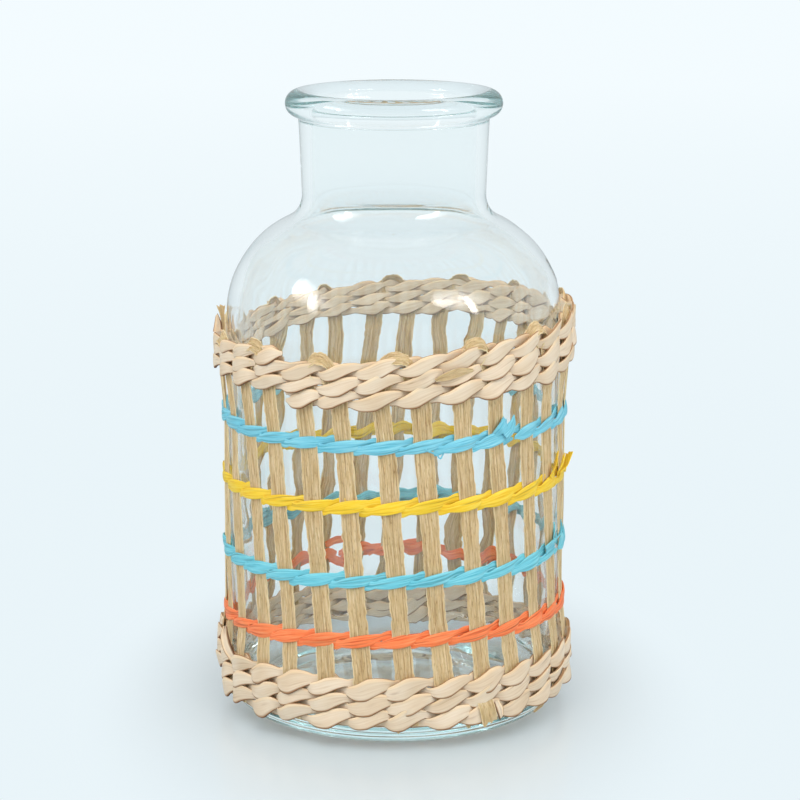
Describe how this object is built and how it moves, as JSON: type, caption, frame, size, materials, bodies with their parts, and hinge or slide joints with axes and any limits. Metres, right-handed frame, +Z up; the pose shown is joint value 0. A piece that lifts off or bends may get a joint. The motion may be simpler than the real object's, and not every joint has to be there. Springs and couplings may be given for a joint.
{
  "type": "bottle vase",
  "caption": "Wide-mouthed clear glass bottle vase in a lift-off open twined sleeve of paper uprights, leaf bands and coloured paper rows.",
  "frame": {"origin": "on the table, under the middle of the bottle's base", "axes": "+Z up along the bottle's axis; -Y is the front that the picture shows; +X is to the right of it"},
  "size_m": [0.1088, 0.1088, 0.1867],
  "materials": {
    "clear_glass": "polished clear soda glass, faintly aqua at thick edges",
    "tan_paper": "matt crinkled paper strip with lengthwise fibres",
    "pale_leaf": "smooth dried leaf with fine lengthwise lines, satin",
    "sky_blue_paper": "folded paper raffia, slight sheen",
    "yellow_paper": "folded paper raffia, slight sheen",
    "turquoise_paper": "folded paper raffia, slight sheen",
    "orange_paper": "folded paper raffia, slight sheen"
  },
  "bodies": {
    "bottle": {"glass_bottle": "clear_glass"},
    "sleeve": {"paper_hairpin_01": "tan_paper", "paper_hairpin_02": "tan_paper", "paper_hairpin_03": "tan_paper", "paper_hairpin_04": "tan_paper", "paper_hairpin_05": "tan_paper", "paper_hairpin_06": "tan_paper", "paper_hairpin_07": "tan_paper", "paper_hairpin_08": "tan_paper", "paper_hairpin_09": "tan_paper", "paper_hairpin_10": "tan_paper", "paper_hairpin_11": "tan_paper", "paper_hairpin_12": "tan_paper", "paper_hairpin_13": "tan_paper", "paper_hairpin_14": "tan_paper", "top_band_leaf_1": "pale_leaf", "top_band_leaf_2": "pale_leaf", "bottom_band_leaf_1": "pale_leaf", "bottom_band_leaf_2": "pale_leaf", "upper_blue_strand_1": "sky_blue_paper", "upper_blue_strand_2": "sky_blue_paper", "yellow_strand_1": "yellow_paper", "yellow_strand_2": "yellow_paper", "lower_blue_strand_1": "turquoise_paper", "lower_blue_strand_2": "turquoise_paper", "orange_strand_1": "orange_paper", "orange_strand_2": "orange_paper"}
  },
  "joints": [
    {"name": "sleeve_slide", "type": "slide", "parent": "bottle", "child": "sleeve", "axis": [0, 0, 1], "range_m": [-0.005, 0.185]}
  ]
}
